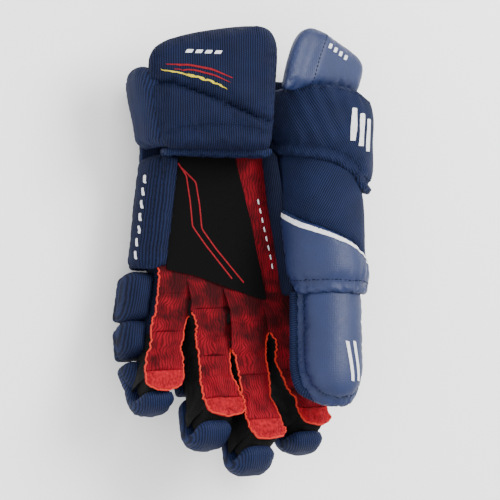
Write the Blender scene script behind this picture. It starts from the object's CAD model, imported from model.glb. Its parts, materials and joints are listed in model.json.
"""The looks of a left-hand ice hockey glove, lying on its back with the palm up.

Every piece is drawn flat in its own pattern, in millimetres, as it would be cut. It is then padded and
bent into place on its CAD body. The pattern's flat coordinates also carry the weave, so that ribs run
along each panel as they do on a sewn glove.
"""

import json
import math

import bmesh
import bpy
import numpy as np
from mathutils import Matrix, Vector, noise
from mathutils.bvhtree import BVHTree
from mathutils.geometry import delaunay_2d_cdt
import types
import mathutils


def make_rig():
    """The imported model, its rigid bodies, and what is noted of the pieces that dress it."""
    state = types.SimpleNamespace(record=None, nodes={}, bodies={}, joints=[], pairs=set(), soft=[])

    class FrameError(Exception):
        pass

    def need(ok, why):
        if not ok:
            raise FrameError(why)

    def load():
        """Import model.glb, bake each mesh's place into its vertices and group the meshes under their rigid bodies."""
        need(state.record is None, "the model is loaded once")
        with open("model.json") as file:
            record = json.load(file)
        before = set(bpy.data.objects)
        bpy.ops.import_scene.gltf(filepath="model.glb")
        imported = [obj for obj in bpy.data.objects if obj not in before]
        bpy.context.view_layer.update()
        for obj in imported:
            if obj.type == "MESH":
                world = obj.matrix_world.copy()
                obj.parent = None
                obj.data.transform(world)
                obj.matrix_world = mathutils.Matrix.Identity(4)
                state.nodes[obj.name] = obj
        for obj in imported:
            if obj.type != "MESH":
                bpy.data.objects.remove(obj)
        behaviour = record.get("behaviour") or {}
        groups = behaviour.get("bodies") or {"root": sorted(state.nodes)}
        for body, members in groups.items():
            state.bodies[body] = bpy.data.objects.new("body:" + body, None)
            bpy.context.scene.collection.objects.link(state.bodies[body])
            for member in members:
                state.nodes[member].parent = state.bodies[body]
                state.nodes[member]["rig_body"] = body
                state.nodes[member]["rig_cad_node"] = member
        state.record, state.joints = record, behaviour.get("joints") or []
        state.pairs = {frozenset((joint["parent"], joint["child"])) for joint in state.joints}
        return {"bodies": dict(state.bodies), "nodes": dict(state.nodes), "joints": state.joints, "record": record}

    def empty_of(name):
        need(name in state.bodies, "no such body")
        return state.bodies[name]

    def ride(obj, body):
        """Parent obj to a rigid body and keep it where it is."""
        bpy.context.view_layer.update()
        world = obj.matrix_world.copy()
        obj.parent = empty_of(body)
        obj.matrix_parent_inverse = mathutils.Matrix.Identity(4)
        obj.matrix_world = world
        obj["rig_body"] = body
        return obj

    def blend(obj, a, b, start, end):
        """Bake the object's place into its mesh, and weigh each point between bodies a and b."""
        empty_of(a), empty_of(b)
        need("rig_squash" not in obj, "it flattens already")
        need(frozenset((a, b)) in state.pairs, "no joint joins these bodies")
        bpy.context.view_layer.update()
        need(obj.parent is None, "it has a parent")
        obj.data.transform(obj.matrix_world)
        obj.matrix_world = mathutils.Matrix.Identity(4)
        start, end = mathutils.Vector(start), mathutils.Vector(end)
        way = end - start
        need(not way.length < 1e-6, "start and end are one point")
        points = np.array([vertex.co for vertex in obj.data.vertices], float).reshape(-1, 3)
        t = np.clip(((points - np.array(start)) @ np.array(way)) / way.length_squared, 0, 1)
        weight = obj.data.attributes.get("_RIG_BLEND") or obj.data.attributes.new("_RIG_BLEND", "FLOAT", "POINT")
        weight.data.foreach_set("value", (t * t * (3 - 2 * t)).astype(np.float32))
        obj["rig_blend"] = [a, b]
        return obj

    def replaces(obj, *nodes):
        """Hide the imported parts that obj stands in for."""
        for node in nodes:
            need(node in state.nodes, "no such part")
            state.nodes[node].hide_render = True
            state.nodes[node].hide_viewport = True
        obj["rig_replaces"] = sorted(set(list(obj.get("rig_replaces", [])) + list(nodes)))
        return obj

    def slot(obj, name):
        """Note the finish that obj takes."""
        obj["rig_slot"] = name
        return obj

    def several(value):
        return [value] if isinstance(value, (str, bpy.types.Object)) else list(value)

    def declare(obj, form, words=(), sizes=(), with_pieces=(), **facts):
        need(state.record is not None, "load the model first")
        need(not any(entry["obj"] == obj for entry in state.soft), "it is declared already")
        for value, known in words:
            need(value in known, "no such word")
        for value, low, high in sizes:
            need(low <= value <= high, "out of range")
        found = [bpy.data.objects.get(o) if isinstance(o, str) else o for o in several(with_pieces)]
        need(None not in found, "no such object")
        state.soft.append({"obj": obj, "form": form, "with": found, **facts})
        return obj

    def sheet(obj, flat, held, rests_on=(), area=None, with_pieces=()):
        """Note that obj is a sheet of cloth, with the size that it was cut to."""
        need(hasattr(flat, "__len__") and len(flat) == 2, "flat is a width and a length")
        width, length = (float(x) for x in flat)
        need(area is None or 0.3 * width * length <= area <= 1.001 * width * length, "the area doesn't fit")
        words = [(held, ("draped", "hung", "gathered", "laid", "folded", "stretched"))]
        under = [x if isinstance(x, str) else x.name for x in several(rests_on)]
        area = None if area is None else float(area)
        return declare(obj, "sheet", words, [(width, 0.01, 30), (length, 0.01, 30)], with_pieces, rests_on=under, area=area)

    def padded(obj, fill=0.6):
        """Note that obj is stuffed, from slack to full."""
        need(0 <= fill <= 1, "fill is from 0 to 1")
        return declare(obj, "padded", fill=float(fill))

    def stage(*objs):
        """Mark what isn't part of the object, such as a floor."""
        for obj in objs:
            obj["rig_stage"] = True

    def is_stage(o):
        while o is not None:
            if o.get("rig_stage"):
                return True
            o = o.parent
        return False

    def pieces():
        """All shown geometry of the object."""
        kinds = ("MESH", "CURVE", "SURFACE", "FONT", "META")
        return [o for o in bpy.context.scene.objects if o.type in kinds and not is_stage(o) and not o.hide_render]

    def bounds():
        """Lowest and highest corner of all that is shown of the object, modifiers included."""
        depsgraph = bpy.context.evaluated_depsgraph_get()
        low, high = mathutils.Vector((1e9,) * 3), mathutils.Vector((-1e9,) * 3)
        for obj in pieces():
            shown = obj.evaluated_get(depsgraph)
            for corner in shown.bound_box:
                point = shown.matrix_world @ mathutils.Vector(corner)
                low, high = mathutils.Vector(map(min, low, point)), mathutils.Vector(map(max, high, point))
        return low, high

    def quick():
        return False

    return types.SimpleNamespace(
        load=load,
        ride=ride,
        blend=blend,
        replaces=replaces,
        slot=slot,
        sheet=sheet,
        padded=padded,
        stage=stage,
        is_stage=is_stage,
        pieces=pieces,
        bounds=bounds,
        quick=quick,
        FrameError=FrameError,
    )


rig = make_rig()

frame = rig.load()
cad_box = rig.bounds()

SHIFT = np.array([17.5, 0.48, 0.0])  # where the glove's working axes stand in the row frame
FORWARD = np.array([0.0, -1.0, 0.0])  # towards the fingertips


def row(point):
    """A point of the glove's working axes, in millimetres, as a point of the row frame in metres."""
    return Vector((np.asarray(point, float) + SHIFT) * 0.001)


def unit(vectors):
    """Rows of vectors at length one."""
    return vectors / np.maximum(np.linalg.norm(vectors, axis=1, keepdims=True), 1e-9)


def distances(line):
    """How far along a line each of its points is."""
    return np.concatenate([[0], np.cumsum(np.linalg.norm(np.diff(line, axis=0), axis=1))])


def placed(name, data):
    """A new object in the scene."""
    made = bpy.data.objects.new(name, data)
    bpy.context.scene.collection.objects.link(made)
    return made


# --------------------------------------------------------------------------- materials


class Weave:
    """A procedural material, built from small steps over the pattern's own coordinates."""

    def __init__(self, name, roughness, shine=0.12):
        self.material = bpy.data.materials.new(name)
        self.material.use_nodes = True
        self.tree = self.material.node_tree
        self.shader = self.tree.nodes["Principled BSDF"]
        self.shader.inputs["Roughness"].default_value = roughness
        self.shader.inputs["Specular IOR Level"].default_value = shine
        uv = self.tree.nodes.new("ShaderNodeUVMap")
        uv.uv_map = "pattern"
        self.uv = uv.outputs["UV"]
        parts = self.tree.nodes.new("ShaderNodeSeparateXYZ")
        self.tree.links.new(self.uv, parts.inputs[0])
        self.u, self.v = parts.outputs["X"], parts.outputs["Y"]

    def put(self, socket, value):
        if isinstance(value, bpy.types.NodeSocket):
            self.tree.links.new(value, socket)
        else:
            socket.default_value = value

    def math(self, operation, a, b=0.0, c=0.0):
        node = self.tree.nodes.new("ShaderNodeMath")
        node.operation = operation
        for socket, value in zip(node.inputs, (a, b, c)):
            self.put(socket, value)
        return node.outputs[0]

    def wave(self, along, pitch, shift=0.0):
        """A sine from 0 to 1 with that pitch in millimetres."""
        angle = self.math("MULTIPLY_ADD", along, 2 * math.pi / pitch, shift)
        return self.math("MULTIPLY_ADD", self.math("SINE", angle), 0.5, 0.5)

    def noise(self, scale, detail=3.0, distortion=0.0):
        node = self.tree.nodes.new("ShaderNodeTexNoise")
        self.tree.links.new(self.uv, node.inputs["Vector"])
        node.inputs["Scale"].default_value = scale
        node.inputs["Detail"].default_value = detail
        node.inputs["Distortion"].default_value = distortion
        return node.outputs["Fac"]

    def patchy(self, scale, detail, gain, shift):
        """Noise spread and shifted, for slow changes of shade or gloss."""
        return self.math("MULTIPLY_ADD", self.noise(scale, detail), gain, shift)

    def cells(self, scale):
        node = self.tree.nodes.new("ShaderNodeTexVoronoi")
        self.tree.links.new(self.uv, node.inputs["Vector"])
        node.inputs["Scale"].default_value = scale
        return node.outputs["Distance"]

    def mix(self, factor, a, b):
        node = self.tree.nodes.new("ShaderNodeMix")
        node.data_type = "RGBA"
        self.put(node.inputs["Factor"], factor)
        self.put(node.inputs["A"], (*a, 1) if isinstance(a, tuple) else a)
        self.put(node.inputs["B"], (*b, 1) if isinstance(b, tuple) else b)
        return node.outputs["Result"]

    def finish(self, colour, height=None, depth=0.0003, strength=0.6, gloss=None):
        self.tree.links.new(colour, self.shader.inputs["Base Color"])
        if height is not None:
            bump = self.tree.nodes.new("ShaderNodeBump")
            bump.inputs["Strength"].default_value = strength
            bump.inputs["Distance"].default_value = depth
            self.tree.links.new(height, bump.inputs["Height"])
            self.tree.links.new(bump.outputs["Normal"], self.shader.inputs["Normal"])
        if gloss is not None:
            self.tree.links.new(gloss, self.shader.inputs["Roughness"])
        return self.material


def ribbed(name, dark, light, pitch=1.8, slant=0.0, roughness=0.8):
    """Ribbed nylon: rows of short raised dashes, each row half a dash out of step with the next."""
    m = Weave(name, roughness)
    across = m.math("MULTIPLY_ADD", m.v, slant, m.u)
    across = m.math("ADD", across, m.math("MULTIPLY", m.noise(0.07, 1.0), 1.3))
    rib = m.wave(across, pitch)
    step = m.math("MULTIPLY", m.math("FLOOR", m.math("DIVIDE", across, pitch)), math.pi)
    dash = m.wave(m.v, pitch * 0.9, step)
    height = m.math("MULTIPLY", rib, m.math("MULTIPLY_ADD", dash, 0.45, 0.55))
    grime = m.patchy(0.05, 4.0, 0.6, -0.3)
    shade = m.math("ADD", height, grime)
    shade = m.math("ADD", shade, m.patchy(2.2, 2.0, 0.5, -0.25))
    colour = m.mix(shade, dark, light)
    gloss = m.patchy(0.08, 3.0, 0.2, roughness - 0.1)
    return m.finish(colour, height, 0.0005, 0.75, gloss)


def dimpled(name, dark, light):
    """Smooth coated fabric with a fine dimple."""
    m = Weave(name, 0.55, shine=0.3)
    pores = m.cells(0.9)
    weave = m.math("MULTIPLY", m.wave(m.u, 1.3), m.wave(m.v, 1.3))
    height = m.math("ADD", m.math("MULTIPLY", pores, 0.7), m.math("MULTIPLY", weave, 0.5))
    height = m.math("ADD", height, m.math("MULTIPLY", m.noise(0.12, 3.0), 1.2))
    shade = m.math("ADD", m.patchy(0.04, 4.0, 0.8, 0.05), m.math("MULTIPLY", pores, 0.25))
    gloss = m.patchy(0.2, 3.0, 0.18, 0.42)
    return m.finish(m.mix(shade, dark, light), height, 0.00025, 0.5, gloss)


def printed_suede(name, lengthwise=False):
    """Red synthetic suede with fine dark wavy print lines and worn lighter patches."""
    m = Weave(name, 0.85)
    sway = m.math("MULTIPLY", m.noise(0.05, 2.0), 14.0)
    ripple = m.math("MULTIPLY", m.noise(0.3, 2.0), 1.2)
    line = m.wave(m.math("ADD", m.math("ADD", m.v if lengthwise else m.u, sway), ripple), 2.2)
    line = m.math("POWER", line, 1.6)
    worn = m.noise(0.06, 4.0, 0.4)
    wear = m.math("MULTIPLY_ADD", worn, 2.6, -0.85)
    if lengthwise:
        wear = m.math("ADD", wear, m.math("MULTIPLY_ADD", m.u, 0.0065, -0.38))
    base = m.mix(wear, (0.034, 0.0003, 0.0016), (0.215, 0.0018, 0.009))
    colour = m.mix(m.math("MULTIPLY", line, 0.7), base, (0.008, 0.0001, 0.0004))
    height = m.math("ADD", m.math("MULTIPLY", line, -0.4), m.math("MULTIPLY", m.noise(1.6, 3.0), 0.8))
    return m.finish(colour, height, 0.0003, 0.6)


def fuzzy(name, dark, light, scale, roughness=0.9, depth=0.0003):
    """A plain napped or thread-like surface."""
    m = Weave(name, roughness)
    nap = m.noise(scale, 4.0, 0.3)
    shade = m.math("MULTIPLY_ADD", nap, 1.6, -0.3)
    return m.finish(m.mix(shade, dark, light), nap, depth, 0.7)


def mesh_knit(name, dark, light):
    """Stretch mesh: small round holes in offset rows."""
    m = Weave(name, 0.85)
    step = m.math("MULTIPLY", m.math("FLOOR", m.math("DIVIDE", m.v, 1.1)), math.pi)
    hole = m.math("MULTIPLY", m.wave(m.u, 1.5, step), m.wave(m.v, 1.1))
    shade = m.math("ADD", m.math("MULTIPLY", hole, 0.8), m.patchy(0.12, 3.0, 0.7, -0.3))
    return m.finish(m.mix(shade, dark, light), hole, 0.0003, 0.7)


def moulded(name, colour, other):
    """Fine-grained moulded plastic, over the model's own space because CAD nodes have no pattern."""
    m = Weave(name, 0.5)
    grain = m.tree.nodes.new("ShaderNodeTexNoise")
    place = m.tree.nodes.new("ShaderNodeTexCoord")
    m.tree.links.new(place.outputs["Object"], grain.inputs["Vector"])
    grain.inputs["Scale"].default_value = 900
    return m.finish(m.mix(grain.outputs["Fac"], colour, other), grain.outputs["Fac"], 0.0001, 0.4)


NAVY = ribbed("navy_rib", (0.0009, 0.002, 0.0085), (0.0078, 0.0138, 0.05))
NAVY_SLANT = ribbed("navy_slanted_rib", (0.0012, 0.0026, 0.0105), (0.0098, 0.0176, 0.062), 1.9, slant=0.6)
NAVY_KNIT = ribbed("navy_fine_knit", (0.0008, 0.0017, 0.0062), (0.0064, 0.0108, 0.035), 1.4)
NAVY_BRIGHT = ribbed("navy_bright_rib", (0.0012, 0.0027, 0.0115), (0.0105, 0.0192, 0.069), slant=0.25,
                     roughness=0.72)
NAVY_SMOOTH = dimpled("navy_coated", (0.0042, 0.0084, 0.032), (0.0118, 0.0228, 0.082))
RED = printed_suede("red_printed_suede")
RED_STRIP = printed_suede("red_finger_suede", lengthwise=True)
RED_EDGE = fuzzy("red_overlock_thread", (0.26, 0.006, 0.005), (0.62, 0.045, 0.026), 1.1, depth=0.0005)
RED_TIP = fuzzy("red_reinforced_suede", (0.085, 0.0008, 0.003), (0.4, 0.009, 0.017), 0.35)
BLACK = fuzzy("black_suede", (0.0003, 0.00025, 0.00028), (0.0014, 0.0011, 0.0012), 0.7, roughness=0.95)
MESH = mesh_knit("black_mesh", (0.0006, 0.0006, 0.0006), (0.0125, 0.0125, 0.012))
LINING = fuzzy("dark_lining", (0.0015, 0.002, 0.003), (0.006, 0.007, 0.01), 0.5)
THREAD = fuzzy("navy_thread", (0.0018, 0.0036, 0.01), (0.009, 0.0145, 0.042), 2.0)
WHITE = fuzzy("white_print", (0.5, 0.5, 0.53), (0.72, 0.72, 0.74), 0.35, 0.6, 0.0001)
RED_INK = fuzzy("red_print", (0.1, 0.002, 0.005), (0.26, 0.008, 0.014), 0.5, 0.7, 0.0001)
YELLOW_INK = fuzzy("yellow_print", (0.42, 0.32, 0.01), (0.6, 0.5, 0.03), 0.5, 0.7, 0.0001)
PLATE = moulded("black_moulded_plate", (0.01, 0.01, 0.011), (0.03, 0.03, 0.033))


# --------------------------------------------------------------------------- flat patterns


def rounded(corners, radius, step=2.0):
    """A closed outline with its corners rounded, as evenly spaced points."""
    line, count = [], len(corners)
    for k in range(count):
        before, here, after = (np.array(corners[(k + d) % count][:2], float) for d in (-1, 0, 1))
        reach = corners[k][2] if len(corners[k]) > 2 else radius
        back, on = before - here, after - here
        start = here + back * min(reach / np.linalg.norm(back), 0.48)
        end = here + on * min(reach / np.linalg.norm(on), 0.48)
        for t in np.linspace(0, 1, 9):
            line.append((1 - t) ** 2 * start + 2 * t * (1 - t) * here + t**2 * end)
    return spaced(np.array(line), step, closed=True)


def spaced(line, step, closed=False):
    """The same line as evenly spaced points."""
    line = np.asarray(line, float)
    if closed:
        line = np.vstack([line, line[:1]])
    along = distances(line)
    keep = np.concatenate([[True], np.diff(along) > 1e-9])
    line, along = line[keep], along[keep]
    count = max(3, int(round(along[-1] / step)))
    at = np.linspace(0, along[-1], count + 1)
    out = np.stack([np.interp(at, along, line[:, k]) for k in range(line.shape[1])], axis=1)
    return out[:-1] if closed else out


def to_line(points, line, closed=False):
    """How far each point is from a line, and how far along it its nearest point is."""
    line = np.asarray(line, float)
    a, b = (line, np.roll(line, -1, axis=0)) if closed else (line[:-1], line[1:])
    length = np.linalg.norm(b - a, axis=1)
    start = np.concatenate([[0], np.cumsum(length)[:-1]])
    best, where = np.full(len(points), 1e9), np.zeros(len(points))
    for k in range(len(a)):
        d = b[k] - a[k]
        t = np.clip(((points - a[k]) @ d) / max(d @ d, 1e-12), 0, 1)
        gap = np.linalg.norm(points - a[k] - t[:, None] * d, axis=1)
        closer = gap < best
        best[closer], where[closer] = gap[closer], (start[k] + t * length[k])[closer]
    return best, where


def within(points, outline):
    """Which points lie inside the closed outline."""
    x, y = points[:, 0], points[:, 1]
    hit = np.zeros(len(points), bool)
    for (x0, y0), (x1, y1) in zip(outline, np.roll(outline, -1, axis=0)):
        if y0 != y1:
            crosses = (y0 > y) != (y1 > y)
            hit ^= crosses & (x < (x1 - x0) * (y - y0) / (y1 - y0) + x0)
    return hit


def filled(outline, cell, rings=()):
    """Triangles that fill an outline, with rows of points at the given distances inside its edge."""
    outline = np.asarray(outline, float)
    extra = []
    tangent = np.roll(outline, -1, axis=0) - np.roll(outline, 1, axis=0)
    normal = np.stack([-tangent[:, 1], tangent[:, 0]], axis=1)
    normal = unit(normal)
    for d in rings:
        moved = outline + normal * d
        moved = moved[within(moved, outline) & (to_line(moved, outline, True)[0] > d * 0.93)]
        if d > 0.5 * cell and len(moved):
            kept = [moved[0]]
            for p in moved[1:]:
                if np.linalg.norm(p - kept[-1]) > 0.5 * cell:
                    kept.append(p)
            moved = np.array(kept)
        extra.append(moved)
    low, high = outline.min(0), outline.max(0)
    rows = np.arange(low[1], high[1], cell * 0.866)
    columns = np.arange(low[0], high[0], cell)
    grid = np.array([(x + (k % 2) * cell / 2, y) for k, y in enumerate(rows) for x in columns]).reshape(-1, 2)
    grid = grid[within(grid, outline)]
    reach = (rings[-1] if len(rings) else 0) + 0.6 * cell
    grid = grid[to_line(grid, outline, True)[0] > reach]
    points = np.vstack([outline, *[e for e in extra if len(e)], grid])
    edges = [(k, (k + 1) % len(outline)) for k in range(len(outline))]
    verts, _, faces, *_ = delaunay_2d_cdt([Vector(p) for p in points], edges, [], 1, 1e-5)
    verts = np.array([tuple(v) for v in verts])

    def faces_up(f):
        return np.cross(verts[f[1]] - verts[f[0]], verts[f[2]] - verts[f[0]]) > 0

    return verts, [f if faces_up(f) else f[::-1] for f in map(list, faces)]


def counter_clockwise(outline):
    x, y = outline[:, 0], outline[:, 1]
    return outline if np.sum(x * np.roll(y, -1) - y * np.roll(x, -1)) > 0 else outline[::-1]


def lumps(u, v, size, seed):
    """Smooth noise from about -1 to 1 over the pattern, the same on every run."""
    return np.array([noise.noise(Vector((a / size, b / size, seed * 7.3))) for a, b in zip(u, v)]) * 1.6


# --------------------------------------------------------------------------- meshes


def outwards(mesh):
    """Turns every face of a closed mesh to look out."""
    work = bmesh.new()
    work.from_mesh(mesh)
    bmesh.ops.recalc_face_normals(work, faces=work.faces)
    work.to_mesh(mesh)
    work.free()
    mesh.update()


SHARP = 1.3  # radians; keeps the edges of thin panels crisp


class Piece:
    """One piece's mesh as it is put together: points in the working axes, faces and pattern coordinates."""

    def __init__(self, name):
        self.name, self.count = name, 0
        self.points, self.faces, self.flat, self.paint, self.materials = [], [], [], [], []

    def add(self, points, faces, flat, material):
        if material not in self.materials:
            self.materials.append(material)
        self.points.append(np.asarray(points, float))
        self.flat.append(np.asarray(flat, float))
        self.faces += [[i + self.count for i in f] for f in faces]
        self.paint += [self.materials.index(material)] * len(faces)
        self.count += len(points)

    def build(self, slot, body=None, stands_for=()):
        points = (np.vstack(self.points) + SHIFT) * 0.001
        flat = np.vstack(self.flat)
        mesh = bpy.data.meshes.new(self.name)
        mesh.from_pydata(points.tolist(), [], self.faces)
        uv = mesh.uv_layers.new(name="pattern")
        loops = np.zeros(len(mesh.loops), np.int32)
        mesh.loops.foreach_get("vertex_index", loops)
        uv.data.foreach_set("uv", flat[loops].astype(np.float32).ravel())
        mesh.polygons.foreach_set("use_smooth", [True] * len(mesh.polygons))
        for material in self.materials:
            mesh.materials.append(material)
        mesh.polygons.foreach_set("material_index", self.paint)
        outwards(mesh)
        mesh.set_sharp_from_angle(angle=SHARP)
        piece = placed(self.name, mesh)
        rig.slot(piece, slot)
        if stands_for:
            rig.replaces(piece, *stands_for)
        if body:
            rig.ride(piece, body)
        return piece


def closed_slab(verts, faces, top, bottom, on_edge):
    """Joins an upper and a lower layer into one closed shell that shares the edge's points."""
    inner = np.flatnonzero(~on_edge)
    lower = np.arange(len(verts))
    lower[inner] = len(verts) + np.arange(len(inner))
    u, v = np.concatenate([verts[:, 0], verts[inner, 0]]), np.concatenate([verts[:, 1], verts[inner, 1]])
    w = np.concatenate([top, bottom[inner]])
    return u, v, w, faces + [[lower[i] for i in f[::-1]] for f in faces]


PRESSURE, FRAMES = 3.0, 16
SEWING_SCALE = 0.01  # metres for each millimetre, so cloth is simulated at ten times its size
MOST_MOVED = 1.3  # mm; firm foam panels fill their covers already, so the cover may only swell a little


def simulate(u, v, w, faces, held):
    """Blows the flat pad's cover up as cloth. Held points stay; no other point moves over MOST_MOVED."""
    mesh = bpy.data.meshes.new("sewing")
    start = np.stack([u, v, w], axis=1)
    mesh.from_pydata((start * SEWING_SCALE).tolist(), [], faces)
    form = placed("sewing", mesh)
    group = form.vertex_groups.new(name="sewn")
    group.add([int(k) for k in np.flatnonzero(held)], 1.0, "REPLACE")
    cloth = form.modifiers.new("cloth", "CLOTH")
    s = cloth.settings
    s.quality, s.mass, s.tension_stiffness, s.compression_stiffness = 5, 0.3, 12, 12
    s.shear_stiffness, s.bending_stiffness, s.shrink_min = 6, 0.25, -0.035
    s.use_pressure, s.uniform_pressure_force, s.vertex_group_mass = True, PRESSURE, "sewn"
    s.effector_weights.gravity = 0
    scene = bpy.context.scene
    for k in range(1, FRAMES + 1):
        scene.frame_set(k)
    done = form.evaluated_get(bpy.context.evaluated_depsgraph_get()).to_mesh()
    co = np.zeros(len(done.vertices) * 3)
    done.vertices.foreach_get("co", co)
    moved = co.reshape(-1, 3) / SEWING_SCALE - start
    scene.frame_set(1)
    bpy.data.objects.remove(form)
    length = np.maximum(np.linalg.norm(moved, axis=1, keepdims=True), 1e-9)
    return start + moved * np.minimum(1, MOST_MOVED / length)


def pad(name, outline, place, thick, body, slot, stands_for, material, soft, crown, seed, cell=3.0,
        belly=0.35, seams=(), pucker=0.35, lumpy=0.5, sew=True, extra=None):
    """A foam pad in its cover: soft is how far its edge is rounded, seams are lines sewn down across it.

    The simulation may only lift its upper face, between the edge and the seams.
    """
    outline = counter_clockwise(np.asarray(outline))
    rings = [soft * t for t in (0.05, 0.17, 0.36, 0.62, 0.95)]
    verts, faces = filled(outline, cell, rings)
    edge, along = to_line(verts, outline, True)
    on_edge = edge < 1e-4
    rise = np.sqrt(np.clip(1 - (1 - np.clip(edge / soft, 0, 1)) ** 2, 0, 1))
    middle = thick * belly
    top = middle + (thick - middle) * rise + crown * (1 - np.exp(-edge / 14.0)) * rise
    bottom = middle - middle * np.sqrt(rise)
    u, v = verts[:, 0], verts[:, 1]
    top += lumpy * lumps(u, v, 22, seed) * rise
    top += pucker * 0.6 * np.sin(along * 0.9 + 3 * lumps(u, v, 12, seed + 1)) * np.exp(-((edge - 3) / 2.5) ** 2)
    held = on_edge.copy()
    for line in seams:
        gap, s = to_line(verts, line)
        top -= rise * (1.5 * np.exp(-((gap / 1.5) ** 2)) + 1.6 * np.exp(-((gap / 6.0) ** 2)))
        top += rise * pucker * np.sin(s * 1.1 + 4 * lumps(u, v, 10, seed + 2)) * np.exp(-(((gap - 3) / 2.5) ** 2))
        held |= gap < 1.2
    if extra is not None:
        top += extra(u, v) * rise
    u2, v2, w2, all_faces = closed_slab(verts, faces, top, bottom, on_edge)
    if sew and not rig.quick():
        underside = np.ones((~on_edge).sum(), bool)
        u2, v2, w2 = simulate(u2, v2, w2, all_faces, np.concatenate([held, underside])).T
    flat = np.stack([np.concatenate([u, u[~on_edge]]), np.concatenate([v, v[~on_edge]])], axis=1)
    piece = Piece(name)
    piece.add(place(u2, v2, w2), all_faces, flat, material)
    made = piece.build(slot, body, stands_for)
    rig.padded(made, fill=0.7)
    return made


def thin(piece, outline, place, thick, material, cell=2.2, relief=None):
    """Adds a thin closed panel to a piece; relief lifts or folds it, in millimetres over the pattern."""
    outline = counter_clockwise(np.asarray(outline))
    verts, faces = filled(outline, cell)
    u, v = verts[:, 0], verts[:, 1]
    lift = relief(u, v) if relief is not None else np.zeros(len(u))
    n = len(verts)
    top, low = place(u, v, lift + thick / 2), place(u, v, lift - thick / 2)
    rim = to_line(verts, outline, True)[0] < 1e-4
    edges = dict.fromkeys((a, b) for f in faces for a, b in zip(f, f[1:] + f[:1]))
    border = [(a, b) for a, b in edges if (b, a) not in edges and rim[a] and rim[b]]
    sides = [[b, a, a + n, b + n] for a, b in border]
    under = [[i + n for i in f[::-1]] for f in faces]
    piece.add(np.vstack([top, low]), faces + under + sides, np.vstack([verts, verts]), material)


def area_of(outline):
    x, y = np.asarray(outline)[:, 0], np.asarray(outline)[:, 1]
    return abs(np.sum(x * np.roll(y, -1) - y * np.roll(x, -1))) / 2


def cut_size(outline):
    """Width, length and area of a flat panel, in metres, for its declaration as cloth."""
    wide, long = (float(x) for x in np.ptp(np.asarray(outline), axis=0) * 0.001)
    return dict(flat=(wide, long), area=float(min(area_of(outline) * 1e-6, wide * long)))


def tube(piece, line, radius, material, sides):
    """Adds a round welt along a line of the working axes."""
    line = np.asarray(line, float)
    tangent = unit(np.gradient(line, axis=0))
    side = unit(np.cross(tangent, (0.0, 0.0, 1.0)))
    lift = np.cross(side, tangent)
    angle = np.arange(sides) * 2 * math.pi / sides
    radius = np.broadcast_to(radius, len(line))[:, None, None]
    across, rise = (f(angle)[None, :, None] for f in (np.cos, np.sin))
    ring = radius * (across * side[:, None] + rise * lift[:, None])
    points = (line[:, None] + ring).reshape(-1, 3)
    faces = []
    for k in range(len(line) - 1):
        for j in range(sides):
            a, b = k * sides + j, k * sides + (j + 1) % sides
            faces.append([a, a + sides, b + sides, b])
    last = (len(line) - 1) * sides
    faces += [list(range(sides)), [last + j for j in range(sides)][::-1]]
    flat = np.stack([np.repeat(distances(line), sides), np.tile(np.arange(sides) * 1.0, len(line))], axis=1)
    piece.add(points, faces, flat, material)


def surface_of(made):
    """A finder for the nearest point of a finished piece, in the working axes."""
    mesh = made.data
    points = [made.matrix_world @ v.co for v in mesh.vertices]
    return BVHTree.FromPolygons(points, [tuple(p.vertices) for p in mesh.polygons])


def onto(tree, points, lift):
    """Points laid on a finished piece, lifted off it by so many millimetres."""
    out = []
    for p in points:
        hit, normal, _, _ = tree.find_nearest(row(p))
        out.append(np.array(hit + normal * lift * 0.001) * 1000 - SHIFT)
    return np.array(out)


STITCH_PITCH, STITCH_LONG, STITCH_RADIUS = 3.6, 2.3, 0.32  # mm


def stitches(name, made, place, lines, body, height):
    """Rows of thread along lines of the pattern, laid on a finished piece."""
    tree, piece = surface_of(made), Piece(name)
    for line in lines:
        at = spaced(line, STITCH_PITCH)
        mid = place(at[:, 0], at[:, 1], np.full(len(at), height))
        for p, d in zip(mid, unit(np.gradient(mid, axis=0))):
            ends = [p + d * STITCH_LONG * t for t in (-0.5, -0.25, 0.25, 0.5)]
            thread = onto(tree, ends, STITCH_RADIUS * 0.5)
            tube(piece, thread, np.array([0.5, 1, 1, 0.5]) * STITCH_RADIUS, THREAD, 5)
    piece.build("navy_knit", body)


def marks(name, made, place, shapes, body, height, material=WHITE, slot="navy_knit"):
    """Flat printed shapes laid on a finished piece. Each shape is an outline of the pattern."""
    tree, piece = surface_of(made), Piece(name)

    def lay(u, v, w):
        """On the finished piece, the shape's two faces a hair apart."""
        base = place(u, v, np.full(len(u), height))
        return np.array([onto(tree, [p], 0.3 + h)[0] for p, h in zip(base, w)])

    for shape in shapes:
        thin(piece, spaced(np.array(shape, float), 1.6, closed=True), lay, 0.24, material, 2.5)
    piece.build(slot, body)


def slanted(x, y, wide, high, lean):
    """A slanted block as an outline."""
    return [(x, y), (x + wide, y), (x + wide + lean, y + high), (x + lean, y + high)]


def stripe(line, wide):
    """A band along a line of the pattern; wide gives its width at even steps from end to end."""
    line = spaced(line, 2.5)
    way = unit(np.gradient(line, axis=0))
    normal = np.stack([-way[:, 1], way[:, 0]], axis=1)
    half = np.interp(np.linspace(0, 1, len(line)), np.linspace(0, 1, len(wide)), wide)[:, None] / 2
    return np.vstack([line + normal * half, (line - normal * half)[::-1]])


# --------------------------------------------------------------------------- places


def flat_place(origin, x=(1, 0, 0), y=(0, 1, 0)):
    """A pattern laid on a plane, its thickness towards x cross y."""
    origin, x, y = (np.array(a, float) for a in (origin, x, y))
    x, y = x / np.linalg.norm(x), y / np.linalg.norm(y)
    z = np.cross(x, y)
    return lambda u, v, w: origin + np.outer(u, x) + np.outer(v, y) + np.outer(w, z)


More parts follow.
